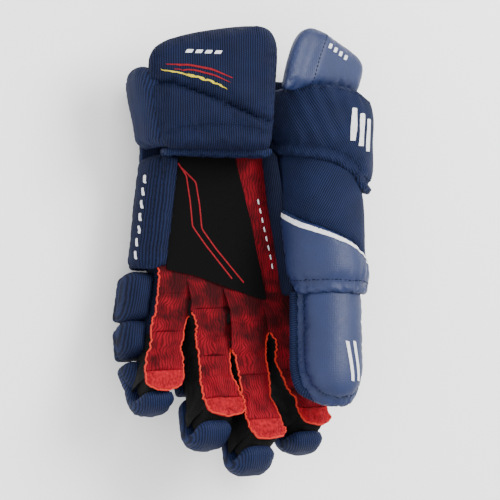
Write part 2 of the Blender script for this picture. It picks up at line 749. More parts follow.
def turned(angle, spin=0.0):
    """The first two axes of a plane turned about Y, then about its own normal, in degrees."""
    turn = Matrix.Rotation(math.radians(angle), 3, "Y") @ Matrix.Rotation(math.radians(spin), 3, "Z")
    return np.array(turn.col[0]), np.array(turn.col[1])


def arch_place(origin, along, radius, wrap):
    """A pattern wrapped over an arch: u goes round, v along, and the thickness points out."""
    origin, y = np.array(origin, float), np.array(along, float)
    y /= np.linalg.norm(y)
    x = np.cross(y, (0, 0, 1.0)) * (1 if y[1] > 0 else -1)
    x /= np.linalg.norm(x)
    z = np.cross(x, y) if y[1] > 0 else np.cross(y, x)

    def place(u, v, w):
        round_ = np.asarray(u) / wrap
        out = radius(v) if callable(radius) else radius
        reach = out + w
        return origin + np.outer(v, y) + np.outer(reach * np.sin(round_), x) + np.outer(reach * np.cos(round_), z)

    return place


def smooth(t):
    t = np.clip(t, 0, 1)
    return t * t * (3 - 2 * t)


JOINED_WIDER = 3.4  # mm more on a side of a strip that is still one with its neighbour
INNER_BACK = 13.2  # mm from a finger's axis to the inside of the pads on its back


class Finger:
    """A finger's curl as one smooth bend, and its straight segments for the pads on its back.

    slits are where its strip parts from its neighbours. past is how far the red strip reaches beyond the
    finger's length, patch how long its reinforced tip is, and drift how far the fingertip leans towards the
    little finger. edges are the palm strip's left and right edge along the finger.
    """

    def __init__(self, number, name, root, lean, curl, roll, long, slits, past, patch, drift, edges):
        self.number, self.name, self.lean, self.long, self.slits = number, name, lean, long, slits
        self.past, self.patch, self.drift, self.edges = past, patch, drift, np.array(edges, float)
        self.root = np.array([*root, 35.0])
        self.roll = roll = math.radians(roll)
        self.x = np.array([math.cos(roll), 0, -math.sin(roll)])
        self.up = np.array([math.sin(roll), 0, math.cos(roll)])
        self.curls = [math.radians(curl * k) for k in (1.0, 2.5, 4.0)]
        self.joint = np.concatenate([[0], np.cumsum(long)])
        a = np.linspace(-40, self.joint[3] + 20, 900)
        turn = np.zeros(len(a))
        for k, (at, before, after) in enumerate(zip(self.joint, [0, *self.curls], self.curls)):
            turn += (after - before) * smooth((a - at + 8) / 16)
        step = a[1] - a[0]
        y, z = np.cumsum(np.cos(turn)) * step, np.cumsum(np.sin(turn)) * step
        zero = np.searchsorted(a, 0)
        self.table = (a, y - y[zero], z - z[zero], turn)

    def at(self, a, x, high):
        """The point at distance a along the finger, x to its side and high above its axis."""
        grid, ys, zs, turns = self.table
        y, z, turn = (np.interp(a, grid, t) for t in (ys, zs, turns))
        twist = self.roll * smooth((np.asarray(a) + 6) / 26)
        x = x + self.lean * np.maximum(a, 0)
        centre = self.root + np.outer(y, FORWARD) + np.outer(z, self.up)
        side = np.stack([np.cos(twist), 0 * twist, -np.sin(twist)], axis=1)
        rise = np.stack([np.sin(twist), 0 * twist, np.cos(twist)], axis=1)
        lean = self.lean * np.maximum(a, 0)
        across = np.outer(lean, self.x) + side * (x - lean)[:, None]
        outward = rise * np.cos(turn)[:, None] - np.outer(np.sin(turn), FORWARD)
        return centre + across + outward * np.asarray(high)[:, None]

    def side(self, a):
        """The palm strip's left and right edge at a."""
        left, right = (np.interp(a, self.edges[:, 0], self.edges[:, k]) for k in (1, 2))
        wider = [JOINED_WIDER * (1 - self.opened(a, k)) for k in (0, 1)]
        return left - wider[0], right + wider[1]

    def opened(self, a, side):
        """From 0 where a strip is still one with its neighbour to 1 beyond the slit between them."""
        return smooth((np.asarray(a) - self.slits[side] + 2) / 9) if self.slits[side] > -10 else 1.0 + 0 * a

    def hinge(self, k):
        point = self.root.copy()
        for j in range(k):
            way = math.cos(self.curls[j]) * FORWARD + math.sin(self.curls[j]) * self.up
            point = point + self.long[j] * (way + self.lean * self.x)
        return point

    def segment(self, k):
        """A place on the back of segment k: u sideways, v along it, thickness away from the palm."""
        way = math.cos(self.curls[k]) * FORWARD + math.sin(self.curls[k]) * self.up
        back = np.cross(self.x, way)
        origin = self.hinge(k) + back * INNER_BACK
        return lambda u, v, w: origin + np.outer(u + self.lean * v, self.x) + np.outer(v, way) + np.outer(w, back)

    def cap(self, bend_at, radius):
        """As segment(2), but turned up over the fingertip beyond bend_at."""
        way = math.cos(self.curls[2]) * FORWARD + math.sin(self.curls[2]) * self.up
        back, origin = np.cross(self.x, way), self.hinge(2)

        def place(u, v, w):
            past = np.maximum(v - bend_at, 0)
            angle = np.minimum(past / radius, math.pi / 2)
            rest = np.maximum(past - radius * math.pi / 2, 0)
            along = np.minimum(v, bend_at) + (radius + w) * np.sin(angle)
            deep = INNER_BACK - radius + (radius + w) * np.cos(angle) - rest
            side = u + self.lean * np.minimum(v, bend_at + radius)
            return origin + np.outer(side, self.x) + np.outer(along, way) + np.outer(deep, back)

        return place


FINGERS = [
    Finger(0, "pinky", (-78.4, -17), -0.244, 7.5, 7, (38, 28, 34), (-30, 34), 4, 17, 2,
           [(-20, -12, 14), (-4, -13.5, 14), (14, -12.6, 15.5), (33, -12.2, 19), (40, -12.6, 17.5),
            (54, -13.2, 15.2), (66, -12.6, 13.6), (78, -15.5, 16.2), (88, -16, 17), (110, -16, 17)]),
    Finger(1, "ring", (-50.5, -25), -0.137, 10.5, 13, (48, 38, 38), (26, 56), 3, 18, 7,
           [(-20, -14, 16.8), (0, -14, 16.8), (25, -14.5, 17.5), (36, -12.8, 18), (57, -12.4, 19.5), (66, -12, 17),
            (86, -13, 16), (98, -14.5, 19), (110, -15, 20), (130, -15, 20)]),
    Finger(2, "middle", (-17, -33), -0.124, 10.5, 13, (54, 42, 42), (49, 33), 1, 20, 8,
           [(-20, -16.8, 16.3), (0, -16.8, 16.3), (34, -15, 17.6), (49, -14, 16.8), (66, -13, 15.6),
            (90, -13.4, 14.5), (108, -14.6, 15.5), (124, -15, 17.5), (140, -15, 17.5)]),
    Finger(3, "index", (15.5, -41), 0.12, 7, 7, (44, 33, 34), (26, 16), 0, 16, 6,
           [(-20, -16.3, 14), (0, -16.3, 14), (22, -17.5, 14), (32, -14, 14), (42, -15.5, 14), (52, -19, 14),
            (62, -17.5, 13.5), (72, -14.5, 13.5), (84, -12, 14), (98, -12, 14.5), (115, -12, 14.5)]),
]


# --------------------------------------------------------------------------- cuff

cuff_x, cuff_y = turned(-15.6)
cuff_place = flat_place(np.array([-58, 82, 78]) - 2 * np.cross(cuff_x, cuff_y), cuff_x, cuff_y)
cuff_outline = rounded(
    [(-37, -2, 9), (46, -3, 6), (49, 17, 8), (51, 50, 20), (53, 78, 16), (46, 93, 16), (27, 95, 22), (-20, 88, 40),
     (-43, 79, 14), (-50, 66, 12), (-45, 32, 20)], 12)
cuff_seam = [(-44, 51), (-28, 49.5), (-10.7, 43.5), (8, 36.5), (27, 28), (44, 20.5)]
cuff_hem = [(-35, 9), (-20, 12), (0, 14), (22, 13.5), (44, 9.5)]
cuff_side = [(-37, 8), (-41, 34), (-44, 52), (-41, 70)]


def cuff_relief(u, v):
    """A fat lower hem, a thinner thumb side, and an upper part that laps over the slanting seam."""
    gap = v - np.interp(u, *np.transpose(cuff_seam))
    lap = 2.2 * smooth((gap + 0.5) / 1.5) * np.exp(-np.maximum(gap, 0) / 26)
    groove = 2.5 * np.exp(-(((gap + 1.5) / 1.6) ** 2))
    return 1.6 * np.exp(-(((v - 5) / 5.5) ** 2)) - 1.5 * smooth((u - 30) / 22) + lap - groove


palm_cuff = pad(
    "palm_cuff_cover", cuff_outline, cuff_place, 15, "palm_cuff", "navy_knit", ["palm_cuff_pad"], NAVY,
    soft=9, crown=2.2, seams=[cuff_seam, cuff_hem, cuff_side], seed=3, extra=cuff_relief)
stitches("palm_cuff_stitching", palm_cuff, cuff_place,
         [[(x + 0.4, y - 2.6) for x, y in cuff_seam], [(x, y + 2.6) for x, y in cuff_hem]], "palm_cuff", 17)
marks("palm_cuff_marks", palm_cuff, cuff_place,
      [slanted(-21 + 7.5 * k, 71.5 - 0.25 * k, 5.2, 2.6, 1.2) for k in range(4)], "palm_cuff", 17)
marks("palm_cuff_pinstripe_red", palm_cuff, cuff_place,
      [stripe([(-36, 62.5), (-18, 62), (0, 58.5), (16, 52)], (0.6, 1.5, 1.5, 0.6)),
       stripe([(-30, 59), (-14, 58), (2, 54), (14, 48.5)], (0.5, 1.2, 1.2, 0.5))],
      "palm_cuff", 17, RED_INK)
marks("palm_cuff_pinstripe_yellow", palm_cuff, cuff_place,
      [stripe([(-40, 58.5), (-20, 55.5), (-2, 50.5), (12, 44.5)], (0.5, 1.3, 1.3, 0.5))],
      "palm_cuff", 17, YELLOW_INK)


def path_place(path, slope):
    """A pattern wrapped round the outer side of the hand: u follows a line in X and Z, v runs along Y."""
    path = spaced(path, 1.0)
    along = distances(path)
    way = unit(np.gradient(path, axis=0))
    for _ in range(8):
        way[1:-1] = (way[:-2] + way[1:-1] + way[2:]) / 3
    way = unit(way)

    def place(u, v, w):
        beyond = u - np.clip(u, 0, along[-1])
        x, z = (np.interp(u, along, path[:, k]) for k in (0, 1))
        dx, dz = (np.interp(u, along, way[:, k]) for k in (0, 1))
        x, z = x + beyond * dx, z + beyond * dz
        return np.stack([x + dz * w + slope(v), v + 0 * u, z - dx * w], axis=1)

    return place


fold_place = path_place([(-91, 68), (-95.5, 64), (-98.5, 56), (-99.5, 44), (-98, 33), (-93, 25)],
                        lambda v: -(v - 118) * 0.19)
fold_outline = rounded(
    [(0, 82, 5), (46, 81, 8), (50, 124, 14), (40, 142, 14), (10, 145, 8), (-2, 138, 8), (-2, 104, 8)], 10)
pad("outer_cuff_cover", fold_outline, fold_place, 10, "palm_cuff", "navy_knit", ["ulnar_cuff_pad"],
    NAVY_BRIGHT, soft=7, crown=1.2, seed=5, belly=0.3, pucker=0.3)

thumb_cuff_x, thumb_cuff_y = turned(24, -13)
thumb_cuff_place = flat_place([38, 131.5, 66], thumb_cuff_x, thumb_cuff_y)
thumb_cuff_outline = rounded(
    [(-43, -14, 5), (37, 4, 5), (40, 20, 12), (39, 30, 10), (30, 37, 12), (-6, 43, 30), (-25, 44, 12),
     (-37, 32, 16), (-42, 10, 12)], 10)
thumb_cuff = pad(
    "thumb_cuff_cover", thumb_cuff_outline, thumb_cuff_place, 15, "thumb_cuff", "navy_smooth", ["thumb_cuff_roll"],
    NAVY_SMOOTH, soft=10, crown=1.5, lumpy=0.25, pucker=0.15, seed=7,
    extra=lambda u, v: -5.5 * smooth((-u - 20 + 0.25 * v) / 12))
stitches("thumb_cuff_stitching", thumb_cuff, thumb_cuff_place, [[(-23, -6), (-19, 20), (-13, 42)]],
         "thumb_cuff", 17)
marks("thumb_cuff_marks", thumb_cuff, thumb_cuff_place,
      [slanted(-12 + 6.5 * k, 29 - 1.2 * k, 3.6, 4.2, 1.2) for k in range(4)], "thumb_cuff", 17)

band_place = arch_place((44, 0, 56), (0, 1, 0), 35.8, 39)
band_low = [(-76, 79), (-50, 77.5), (-30, 75.6), (-6, 71.5), (6, 66), (15, 60), (24, 50), (34, 46.5), (56, 47),
            (76, 50)]
band_high = [(78, 122), (46, 122), (30, 125), (18, 129), (-6, 132.5), (-40, 131), (-76, 128)]
band_outline = rounded([(x, y, 5) for x, y in band_low + band_high], 5)
band_hem = [(x, y + 8) for x, y in band_low[:-1]]


def band_relief(u, v):
    """A rolled lower hem, with slanting folds above it."""
    hem = to_line(np.stack([u, v], 1), band_low)[0] - 4
    folds = 1.1 * np.exp(-(((u + 8 + 0.25 * (v - 100)) / 26) ** 2)) * np.sin(0.55 * u + 0.2 * v)
    return 1.4 * np.exp(-((hem / 3.5) ** 2)) + folds * smooth((v - 78) / 12) * 0.7


wrist_band = pad(
    "wrist_band_cover", band_outline, band_place, 6.6, "hand", "navy_knit", ["wrist_band"], NAVY_SLANT,
    soft=4, crown=1.4, seams=[band_hem], pucker=0.8, lumpy=0.7, seed=9, extra=band_relief)
stitches("wrist_band_stitching", wrist_band, band_place,
         [[(x, y - 2.4) for x, y in band_high[::-1]], [(x, y + 2.0) for x, y in band_hem]], "hand", 8)
marks("wrist_band_marks", wrist_band, band_place,
      [slanted(7, 88, 5, 26, 2), slanted(15, 84, 5, 26, 2), slanted(23, 80, 5, 26, 2)], "hand", 8)

binding_outline = rounded([(-90, 49, 3), (-9, 49, 3), (-7, 84, 4), (-50, 77, 20), (-92, 68, 4)], 4)
pad("cuff_binding_roll", binding_outline, flat_place([0, 81.5, 0], y=(0, 0, 1)), 6.5, "hand", "navy_knit",
    ["cuff_binding"], NAVY_BRIGHT, soft=3.4, crown=0.6, seed=11, cell=2.6,
    seams=[[(-92, 58), (-50, 60), (-7, 60)]])

# --------------------------------------------------------------------------- back of the hand


def under(u, v, w):
    """A pattern on the back of the hand, seen from the back; its thickness runs down to the floor."""
    return np.stack([-u, v + 0 * u, np.maximum(18.2 - w, 0.0)], axis=1)


def steps(gap, left, right):
    """The stepped edge along the finger hinges."""
    line, roots = [], [finger.root for finger in FINGERS]
    for k, root in enumerate(roots):
        before = left if k == 0 else (roots[k - 1][0] + root[0]) / 2
        after = right if k == 3 else (root[0] + roots[k + 1][0]) / 2
        line += [(before, root[1] + gap), (after, root[1] + gap)]
    return line


def back_pad(name, corners, body, stands_for, seams, seed, radius):
    """A pad on the back of the hand, drawn as seen from the palm."""
    seams = [[(-x, y) for x, y in line] for line in seams]
    outline = rounded([(-x, y) for x, y in corners], radius)
    return pad(name, outline, under, 18, body, "navy_knit", [stands_for], NAVY, soft=9, crown=0.2, lumpy=0.2,
               seams=seams, seed=seed, cell=3.4, belly=0.12)


back_pad("knuckle_cover", [*steps(1.5, -103, 31), (33, 14), (-99, 14)], "hand", "knuckle_roll",
         [[(x, -44), (x, 16)] for x in (-64.5, -33.8, -0.8)], 13, 4)
hand_back = back_pad("hand_cover", [(-99, 16), (35, 16), (39, 58), (-94, 58)], "hand", "hand_roll",
                     [[(-64, 14), (-62, 60)], [(-1, 14), (1, 60)]], 15, 9)
wrist_back = back_pad("wrist_cover", [(-94, 60), (41, 60), (51, 104), (-93, 104)], "hand", "wrist_roll",
                      [[(-60, 58), (-57, 106)], [(5, 58), (10, 106)]], 17, 9)
back_cuff = back_pad("back_cuff_cover", [(-94, 106), (62, 106), (62, 140), (-94, 140)], "back_cuff",
                     "back_cuff_roll", [[(-52, 104), (-52, 142)], [(20, 104), (20, 142)]], 19, 9)
for made, name, body, y in ((hand_back, "hand_cover_stitching", "hand", (20, 54)),
                            (wrist_back, "wrist_cover_stitching", "hand", (65, 99)),
                            (back_cuff, "back_cuff_stitching", "back_cuff", (110.5, 135.5))):
    stitches(name, made, under, [[(-28, level), (88, level)] for level in y], body, 19)

liner = Piece("backhand_lining")
liner_outline = spaced([*steps(2, -87, 29), (29, 104), (-75, 104)], 4, closed=True)
thin(liner, liner_outline, flat_place([0, 0, 20.8]), 1.6, LINING, 5, lambda u, v: 0.25 * lumps(u, v, 14, 3))
liner = liner.build("lining", "hand", ["backhand_liner"])
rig.sheet(liner, held="laid", rests_on=["knuckle_cover", "hand_cover", "wrist_cover"], **cut_size(liner_outline))

side_place = path_place([(-83, 50.5), (-90, 50), (-94.5, 44), (-96.5, 34), (-95, 22), (-90, 18)],
                        lambda v: (v - 30) * 0.119)
side_outline = rounded([(-2, 75, 3), (-2, -8, 4), (6, -14, 4), (42, -13, 6), (42, 73, 6), (10, 77, 4)], 5)
side_pad = pad("outer_side_cover", side_outline, side_place, 6.5, "hand", "navy_knit", ["ulnar_side_pad"], NAVY,
               soft=4.5, crown=1.6, seed=21, belly=0.3, seams=[[(8, -14), (8, 77)]])
stitches("outer_side_stitching", side_pad, side_place,
         [[(x, -10), (x, 74)] for x in (5.6, 10.4)], "hand", 7)
marks("outer_side_marks", side_pad, side_place,
      [slanted(16, 54 - 10 * k, 2.4, 6.4, 1.4) for k in range(7)], "hand", 8)

# --------------------------------------------------------------------------- palm

palm = Piece("palm_sheet")
palm_outline = spaced([*steps(8, -91, 29.5), (22, 0), (10, 40), (-4, 79), (-88, 79)], 2.2, closed=True)


def palm_folds(u, v):
    """Soft folds of the palm's suede, fading towards the edge of the black patch."""
    run = 0.9 * lumps(u, v * 0.6, 11, 21) + 0.5 * np.sin(u * 0.7 + 1.8 * lumps(u, v, 16, 22))
    return run * (0.25 + 0.75 * smooth((10 - v) / 30)) * smooth((v + 36) / 12) * 0.8


thin(palm, palm_outline, flat_place([0, 0, 51.2]), 1.4, RED, 2.2, palm_folds)
palm = palm.build("red_palm", "hand", ["palm_panel"])
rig.sheet(palm, held="stretched", rests_on=["cuff_binding_roll", "outer_side_cover"], **cut_size(palm_outline))

palm_plan = flat_place([0, 0, 0])
marks("palm_print_marks", palm, palm_plan,
      [stripe([(-7.5 + 1.75 * k, 42 - 7.4 * k), (-6.5 + 1.75 * k, 37.6 - 7.4 * k)], (1.1, 1.1)) for k in range(8)],
      "hand", 52.2, WHITE, "red_palm")

patch = Piece("palm_patch_sheet")
patch_outline = rounded(
    [(-85.5, -14), (-60, -19.5), (-30, -30), (0, -40, 4), (-14, 24), (-28.5, 79.5), (-79, 79.5)], 2)
thin(patch, patch_outline, flat_place([0, 0, 52.9]), 1.0, BLACK, 2.6,
     lambda u, v: 0.5 * lumps(u, v, 20, 24) * smooth((v + 45) / 20))
patch = patch.build("black_patch", "hand", ["palm_patch"])
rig.sheet(patch, held="laid", rests_on=["palm_sheet"], **cut_size(patch_outline))
trace = [
    [(-76, 70), (-69, 60), (-66, 40), (-64, 20), (-52, 4), (-30, -22)],
    [(-73, 66), (-61, 55), (-58, 38), (-56, 18), (-44, 2), (-20, -25)],
]
marks("palm_patch_piping", patch, palm_plan, [stripe(line, (1.1, 1.1)) for line in trace], "hand", 53.4,
      RED_INK, "black_patch")

welt_outline = rounded([(-93.5, -9), (-85.6, -12), (-79.5, 77), (-89, 77)], 2)
pad("outer_palm_welt", welt_outline, flat_place([0, 0, 50.6]), 4.4, "hand", "navy_knit", ["ulnar_strip"],
    NAVY_KNIT, soft=2.6, crown=0.5, cell=2.4, seed=27, lumpy=0.2, pucker=0.3)

web_edges = np.array([
    [(-10, 80, 54), (-4.5, 76, 54), (-1, 41, 54), (4.1, 9, 54.6), (8.5, -23, 55.6), (12.9, -55, 58)],
    [(0, 80, 66), (4, 76, 66), (9, 41, 68), (14, 9, 70), (17, -23, 71), (19, -50, 72)]], float)


def web_place(u, v, w):
    """u runs across the strip from 0 to 14 and v along it, from the cuff down beside the palm."""
    k = np.arange(web_edges.shape[1])
    t = np.asarray(v) / 138 * k[-1]
    left, right = (np.stack([np.interp(t, k, edge[:, j]) for j in range(3)], axis=1) for edge in web_edges)
    share = (np.asarray(u) / 14)[:, None]
    out = np.array([-0.66, 0, 0.75])
    bulge = np.sin(np.clip(share, 0, 1) * math.pi) * 1.8
    return left + (right - left) * share + out * (np.asarray(w)[:, None] + bulge)


web = pad("thumb_web_cover", rounded([(0, 0, 2), (14, 0, 2), (14, 122, 2), (2, 122, 5)], 2), web_place, 3.4, None,
          "navy_knit", ["thumb_web_strip"], NAVY_KNIT, soft=2.2, crown=0.6, cell=2.6, seed=29, sew=False, lumpy=0.2)
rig.blend(web, "hand", "thumb_base", start=row((2, 10, 54)), end=row((16, 10, 71)))

side_sheet = Piece("thumb_side_sheet")
slope = np.array([math.cos(math.radians(41)), 0, math.sin(math.radians(41))])
side_sheet_outline = rounded([(0, -26), (50, -26), (50, 46), (0, 46)], 3)
thin(side_sheet, side_sheet_outline, flat_place([28, 0, 22.5], slope, (0, 1, 0)), 1.6, NAVY_KNIT, 3,
     lambda u, v: 0.9 * lumps(u, v, 14, 31) - 3.0 * np.sin(np.clip(u / 50, 0, 1) * math.pi))
side_sheet = side_sheet.build("black_knit", "hand", ["thumb_base_gusset"])
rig.sheet(side_sheet, held="stretched", rests_on=["hand_cover"], **cut_size(side_sheet_outline))

# --------------------------------------------------------------------------- thumb

KNUCKLE, TIP = np.array([40.0, -34, 78]), np.array([31.0, -128, 101])
HINGE = np.array([42.0, 58, 61])
LONG = float(np.linalg.norm(TIP - KNUCKLE))
THUMB_WAY = (TIP - KNUCKLE) / LONG
base_place = arch_place(HINGE, KNUCKLE - HINGE, 22.5, 34)
border = [(-58, 21), (-38, 32), (-15, 43), (12, 54), (38, 68), (58, 79)]
base_outline = rounded([(-56, -24, 5), (58, -24, 5), (59, 80, 2), *[(x, y + 5, 2) for x, y in border[::-1]][1:]], 3)
pad("thumb_base_cover", base_outline, base_place, 10.5, "thumb_base", "navy_knit", ["thumb_base_panel"],
    NAVY_SLANT, soft=4, crown=1.0, seed=33, lumpy=0.8, pucker=0.6)
guard_place = arch_place(HINGE, KNUCKLE - HINGE, 26.5, 34)
guard_outline = rounded([*[(x, y, 3) for x, y in border], (60, 92, 6), (30, 97, 10), (-8, 97.5, 10),
                         (-40, 96.5, 6), (-50, 84, 6)], 4)
guard_hem = [(-44, 88), (-20, 90.5), (10, 91), (36, 90), (56, 86)]
guard = pad("thumb_guard_cover", guard_outline, guard_place, 8.5, "thumb_base", "navy_smooth", ["thumb_guard"],
            NAVY_SMOOTH, soft=4.5, crown=1.2, seed=35, lumpy=0.3, pucker=0.3, seams=[guard_hem])
stitches("thumb_guard_stitching", guard, guard_place,
         [[(x, y + 3) for x, y in border], [(x, y - 2) for x, y in guard_hem]], "thumb_base", 10)
marks("thumb_guard_stripe", guard, guard_place,
      [stripe([(-53, 29), (-30, 42), (-6, 52), (16, 62), (36, 73)], (3.0, 5.2, 5.6, 3.4, 0.8))], "thumb_base", 10)


def shell_radius(v):
    """The thumb shell's inner radius along it, closing round the tip."""
    before_tip = [LONG - d for d in (36, 28, 20, 14, 9, 5, 2, 0, -20)]
    return np.interp(v, [-10, 6, *before_tip], [17, 18.5, 18.5, 18, 16.5, 14.3, 11.5, 8.2, 4.8, 1.5, 1.5])


def shell_place(u, v, w):
    """The shell's cover: the thickness leans forward towards the tip, so that the end is round."""
    nose = smooth((np.asarray(v) - (LONG - 30)) / 30)
    lean = nose * math.radians(72)
    flat = arch_place(KNUCKLE, TIP - KNUCKLE, shell_radius, 28)
    on_arch = flat(u, np.minimum(v, LONG) - 9 * nose, np.asarray(w) * np.cos(lean))
    return on_arch + np.outer(np.asarray(w) * np.sin(lean), THUMB_WAY)


def mirrored(half):
    """The other half of a line that is symmetric about its middle."""
    return [(-x, y) for x, y in half[::-1]]


shell_outline = rounded([(-44, -6, 6), (44, -6, 6), (44, LONG - 34, 20), (38, LONG - 14, 18), (24, LONG - 1, 14),
                         (-24, LONG - 1, 14), (-38, LONG - 14, 18), (-44, LONG - 34, 20)], 10)
half_seam = [(-33, -4), (-33, LONG - 34), (-27, LONG - 18), (-14, LONG - 10)]
shell_seam = spaced([*half_seam, (0, LONG - 8), *mirrored(half_seam)], 3)
shell = pad("thumb_shell_cover", shell_outline, shell_place, 9.5, "thumb_tip", "navy_smooth", ["thumb_shell"],
            NAVY_SMOOTH, soft=6, crown=1.2, seams=[shell_seam], seed=37, lumpy=0.3, pucker=0.25)
stitches("thumb_shell_stitching", shell, shell_place, [shell_seam * np.array([0.93, 0.985])], "thumb_tip", 11)
marks("thumb_shell_mark", shell, shell_place,
      [slanted(3, 44, 3, 30, 6), slanted(10, 43, 3, 30, 6)], "thumb_tip", 11)
half_rim = [(-41, 2), (-42, LONG - 36), (-38, LONG - 18), (-26, LONG - 5), (-8, LONG)]
rim = spaced([*half_rim, *mirrored(half_rim)], 2.0)
welt = Piece("thumb_rim_welt")
rim_out = np.where(rim[:, 0] < 0, 9.0, 5.5) * smooth((LONG + 6 - rim[:, 1]) / 30)
tube(welt, shell_place(rim[:, 0] * 1.02, rim[:, 1], rim_out), 4.2, NAVY_BRIGHT, 12)
welt = welt.build("navy_knit", "thumb_tip", ["thumb_binding"])
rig.padded(welt, fill=0.9)

sleeve = Piece("thumb_sleeve_sheet")
sleeve_outline = rounded([(-24, 4, 4), (24, 4, 4), (22, LONG - 36, 10), (10, LONG - 18, 8), (-10, LONG - 18, 8),
                          (-22, LONG - 36, 10)], 6)
thumb_up = np.cross(THUMB_WAY, (1.0, 0, 0))
thumb_up *= np.sign(thumb_up[2]) / np.linalg.norm(thumb_up)


def sleeve_place(u, v, w):
    """Under the thumb's shell, bowed downwards."""
    axis = flat_place(KNUCKLE, (1, 0, 0), THUMB_WAY)(u, v, 0 * u)
    return axis - np.outer(15 - 11 * (np.abs(u) / 24) ** 2 - w, thumb_up)


thin(sleeve, sleeve_outline, sleeve_place, 1.6, MESH, 2.4, lambda u, v: 0.7 * lumps(u, v, 9, 41))
sleeve = sleeve.build("black_knit", "thumb_tip", ["thumb_sleeve"])
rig.sheet(sleeve, held="stretched", rests_on=["thumb_shell_cover"], **cut_size(sleeve_outline))

# --------------------------------------------------------------------------- fingers

PARTS = ("proximal", "middle", "tip")
OVERLAP = 0.7  # mm that a strip's parts reach under each other
TIP_ROUND = 11  # mm over which a strip's end is rounded
WALL_DEEP, END_DEEP = 27, 34  # mm from the palm to the back, for the side walls and the end wall


def skin(finger, a, x):
    """How high the palm strip lies over a finger's axis."""
    left, right = finger.side(a)
    middle, half = (left + right) / 2, (right - left) / 2
    across = (x - middle) / half
    end = finger.joint[3]
    free = smooth((a - 6) / 30)
    apart = np.where(across < 0, finger.opened(a, 0), finger.opened(a, 1))
    high = 16.2 - 3.2 * free * apart * np.abs(across) ** 2.2 - 0.9 * free * (1 - apart) * across**2
    high += 1.6 * apart * free * np.exp(-(((np.abs(across) - 1) / 0.15) ** 2))
    for k in (1, 2):
        gap = a - finger.joint[k] + 3.5 * lumps(x, 0 * x, 12, finger.joint[k])
        high -= (0.9 + 0.9 * lumps(x, a, 14, 4)) * np.exp(-((gap / 3.4) ** 2))
    folds = 0.8 * lumps(a * 0.8 + x, x * 0.8, 11, finger.joint[1])
    folds = folds + 1.1 * lumps(a * 0.22, x + 0.15 * a, 5.5, finger.joint[2])
    high += folds * (0.3 + 0.7 * free)
    return high - 2.6 * smooth((a - end + 3) / 9) ** 2


def wall_side(finger, a, side):
    """The side wall's distance from the centre line."""
    left, right = finger.side(a)
    return (left + 1.6) if side < 0 else (right - 1.6)


def span_outline(finger, start, end, round_end=0.0):
    """The outline of a palm strip in its pattern: along the finger, then across it."""
    a = np.arange(start, end + 0.1, 2.0)
    a[-1] = end
    left, right = finger.side(a)
    wave = 0.5 * lumps(a, 0 * a, 5, finger.joint[3])
    if round_end:
        short = np.clip((a - (end - round_end)) / round_end, 0, 1)
        tuck = (right - left) / 2 * (1 - np.sqrt(np.maximum(1 - short**2.6, 0.02)))
        left, right = left + tuck, right - tuck
    return np.vstack([np.stack([a, left + wave], 1), np.stack([a, right + wave], 1)[::-1]])


def joined(piece, finger, k):
    """Bends a piece of finger cloth at joint k of its finger."""
    bodies = ["hand", f"{finger.name}_proximal", f"{finger.name}_middle", f"{finger.name}_tip"]
    start, end = (finger.at(np.array([finger.joint[k] + d]), np.array([0.0]), np.array([0.0]))[0] for d in (-9, 9))
    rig.blend(piece, bodies[k], bodies[k + 1], start=row(start), end=row(end))


def strip(finger, k, start, end):
    """The red palm strip over part k of a finger, with a reinforced tip and overlocked edges."""
    cloth, last = Piece(f"{finger.name}_{PARTS[k]}_strip"), k == 2

    def place(u, v, w):
        return finger.at(u, v, skin(finger, u, v) + w)

    outline = span_outline(finger, start, end, TIP_ROUND if last else 0)
    if last:
        patch_start = end - finger.patch
        thin(cloth, span_outline(finger, start, patch_start), place, 1.3, RED_STRIP, 2.0)
        thin(cloth, span_outline(finger, patch_start, end, TIP_ROUND), place, 1.5, RED_TIP, 2.0)
        for inset in (3.0, 5.2):
            seam = span_outline(finger, patch_start, end - inset, 9)
            seam[:, 1] += np.where(np.arange(len(seam)) < len(seam) // 2, inset, -inset)
            for point in spaced(seam, 1.0)[:-2:3]:
                dash = point + np.array([[-0.9, 0], [0, 0], [0.9, 0]])
                tube(cloth, place(dash[:, 0], dash[:, 1], np.full(3, 0.85)), 0.28, RED_INK, 5)
    else:
        thin(cloth, outline, place, 1.3, RED_STRIP, 2.0)
    half = len(outline) // 2
    for edge in (outline,) if last else (outline[:half], outline[half:]):
        edge = spaced(edge, 1.1)
        frill = 0.6 * lumps(edge[:, 0], edge[:, 1], 2.6, 5 + finger.number)
        keep = (edge[:, 0] > finger.slits[0 if edge[0][1] < 0 else 1]) | last
        edge, frill = edge[keep], frill[keep]
        if len(edge) > 4:
            hem = place(edge[:, 0], edge[:, 1] + frill, 0.5 + frill)
            tube(cloth, hem, 0.78 + 0.13 * frill, RED_EDGE, 6)
    cloth = cloth.build("red_palm", None, [] if last else [f"{finger.name}_{PARTS[k]}_palm"])
    joined(cloth, finger, k)
    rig.sheet(cloth, held="stretched", rests_on=[f"{finger.name}_{PARTS[k]}_walls"], **cut_size(outline))


